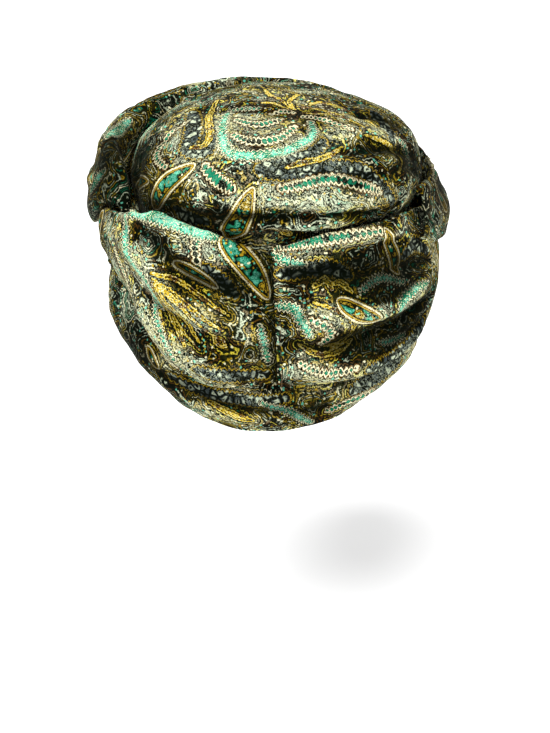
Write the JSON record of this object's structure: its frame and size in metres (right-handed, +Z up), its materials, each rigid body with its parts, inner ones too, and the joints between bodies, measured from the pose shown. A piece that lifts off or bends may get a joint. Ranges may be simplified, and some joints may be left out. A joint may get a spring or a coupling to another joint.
{
  "type": "turban headwrap",
  "caption": "Soft printed velvet turban headwrap: a band round the head, panels that wrap the back, a rolled swathe over the brow and a gathered crown, open below.",
  "frame": {"origin": "middle of the opening that the head goes into, level with the rim above the ears", "axes": "+Z up out of the head, the face looks towards -Y and the nape towards +Y, +X is the wearer's left"},
  "size_m": [0.2448, 0.2473, 0.209],
  "materials": {
    "rim_band": "stretch velvet, dark ground with a paisley print",
    "crown": "stretch velvet, dark ground with a paisley print",
    "front_swathe": "stretch velvet, dark ground with a paisley print",
    "left_panel": "stretch velvet, dark ground with a paisley print",
    "right_panel": "stretch velvet, dark ground with a paisley print"
  },
  "bodies": {
    "root": {"rim_band": "rim_band", "crown": "crown", "front_swathe": "front_swathe", "left_panel": "left_panel", "right_panel": "right_panel"}
  },
  "joints": []
}
